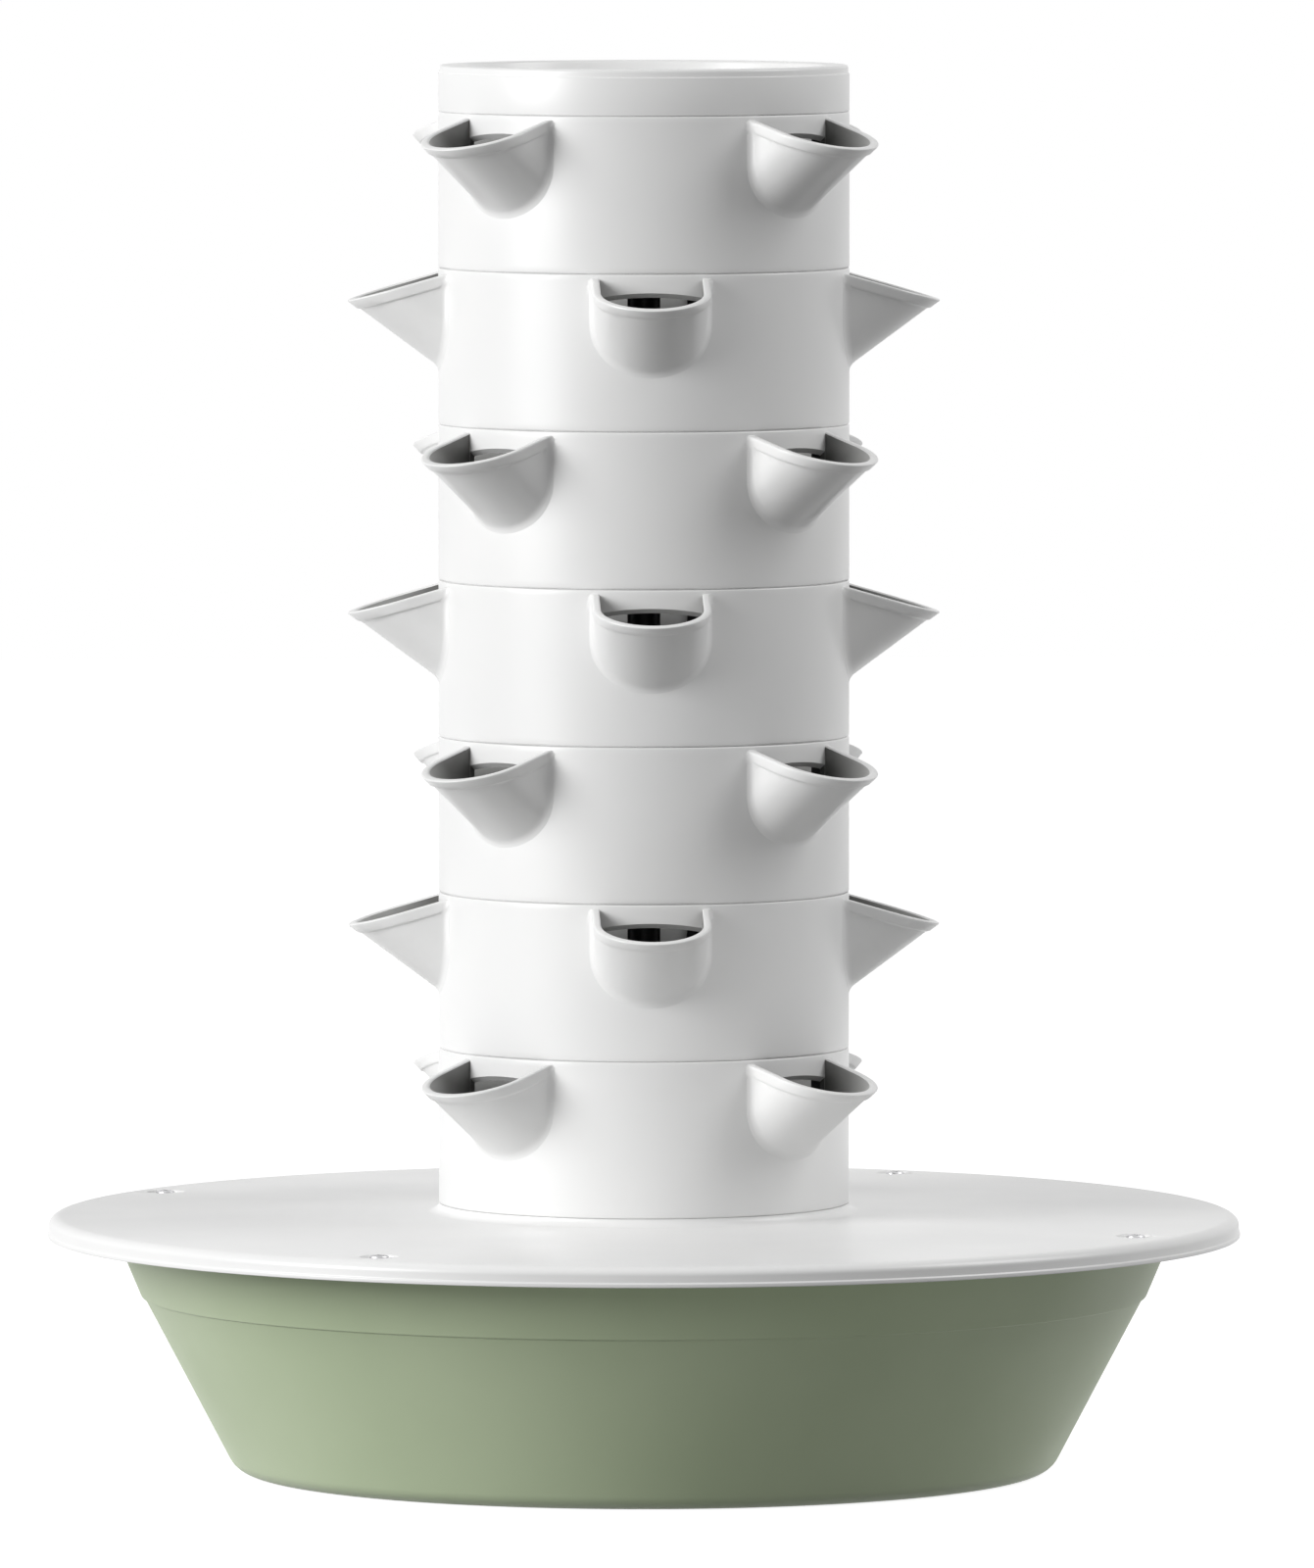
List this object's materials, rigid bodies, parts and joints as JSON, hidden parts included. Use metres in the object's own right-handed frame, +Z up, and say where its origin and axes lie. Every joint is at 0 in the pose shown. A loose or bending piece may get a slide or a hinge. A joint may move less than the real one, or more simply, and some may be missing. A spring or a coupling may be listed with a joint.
{
  "type": "hydroponic tower",
  "caption": "Vertical hydroponic planter: stacked round tiers with tilted plant pockets on a lidded water basin, with a pump, riser pipe and spray disc inside.",
  "frame": {"origin": "centre of the basin's base, on the surface that it stands on", "axes": "+Z up along the column; -Y is the front, where a pocket of every second tier faces; +X is the right-hand side seen from the front"},
  "size_m": [0.5819, 0.582, 0.6855],
  "materials": {
    "white_plastic": "semi-gloss moulded",
    "sage_plastic": "satin moulded",
    "black_rubber": "matt",
    "screw_steel": "plain stainless",
    "pump_plastic": "satin moulded",
    "filter_foam": "open-cell foam",
    "rotor_plastic": "satin moulded",
    "ceramic": "polished ceramic",
    "pipe_plastic": "extruded satin polyethylene",
    "disc_plastic": "satin moulded"
  },
  "bodies": {
    "base": {"basin": "sage_plastic", "lid": "white_plastic", "lid_gasket": "black_rubber", "lid_screws": "screw_steel", "cable_grommet": "black_rubber", "pump_housing": "pump_plastic", "pump_cover": "pump_plastic", "pump_filter": "filter_foam", "pump_shaft": "ceramic", "pump_feet": "black_rubber", "pump_outlet": "pump_plastic", "riser_pipe_lower": "pipe_plastic", "riser_coupler": "pipe_plastic", "riser_pipe_upper": "pipe_plastic"},
    "impeller": {"pump_impeller": "rotor_plastic"},
    "tier_1": {"tier_1": "white_plastic"},
    "tier_2": {"tier_2": "white_plastic"},
    "tier_3": {"tier_3": "white_plastic"},
    "tier_4": {"tier_4": "white_plastic"},
    "tier_5": {"tier_5": "white_plastic"},
    "tier_6": {"tier_6": "white_plastic"},
    "tier_7": {"tier_7": "white_plastic"},
    "cap": {"top_cap": "white_plastic", "spray_disc": "disc_plastic"}
  },
  "joints": [
    {"name": "impeller_spin", "type": "hinge", "parent": "base", "child": "impeller", "pos_m": [0, 0, 0.032], "axis": [0, 1, 0], "continuous": true},
    {"name": "tier_1_lift", "type": "slide", "parent": "base", "child": "tier_1", "axis": [0, 0, 1], "range_m": [0, 0.02]},
    {"name": "tier_2_lift", "type": "slide", "parent": "tier_1", "child": "tier_2", "axis": [0, 0, 1], "range_m": [0, 0.02]},
    {"name": "tier_3_lift", "type": "slide", "parent": "tier_2", "child": "tier_3", "axis": [0, 0, 1], "range_m": [0, 0.02]},
    {"name": "tier_4_lift", "type": "slide", "parent": "tier_3", "child": "tier_4", "axis": [0, 0, 1], "range_m": [0, 0.02]},
    {"name": "tier_5_lift", "type": "slide", "parent": "tier_4", "child": "tier_5", "axis": [0, 0, 1], "range_m": [0, 0.02]},
    {"name": "tier_6_lift", "type": "slide", "parent": "tier_5", "child": "tier_6", "axis": [0, 0, 1], "range_m": [0, 0.02]},
    {"name": "tier_7_lift", "type": "slide", "parent": "tier_6", "child": "tier_7", "axis": [0, 0, 1], "range_m": [0, 0.02]},
    {"name": "cap_lift", "type": "slide", "parent": "tier_7", "child": "cap", "axis": [0, 0, 1], "range_m": [0, 0.04]}
  ]
}
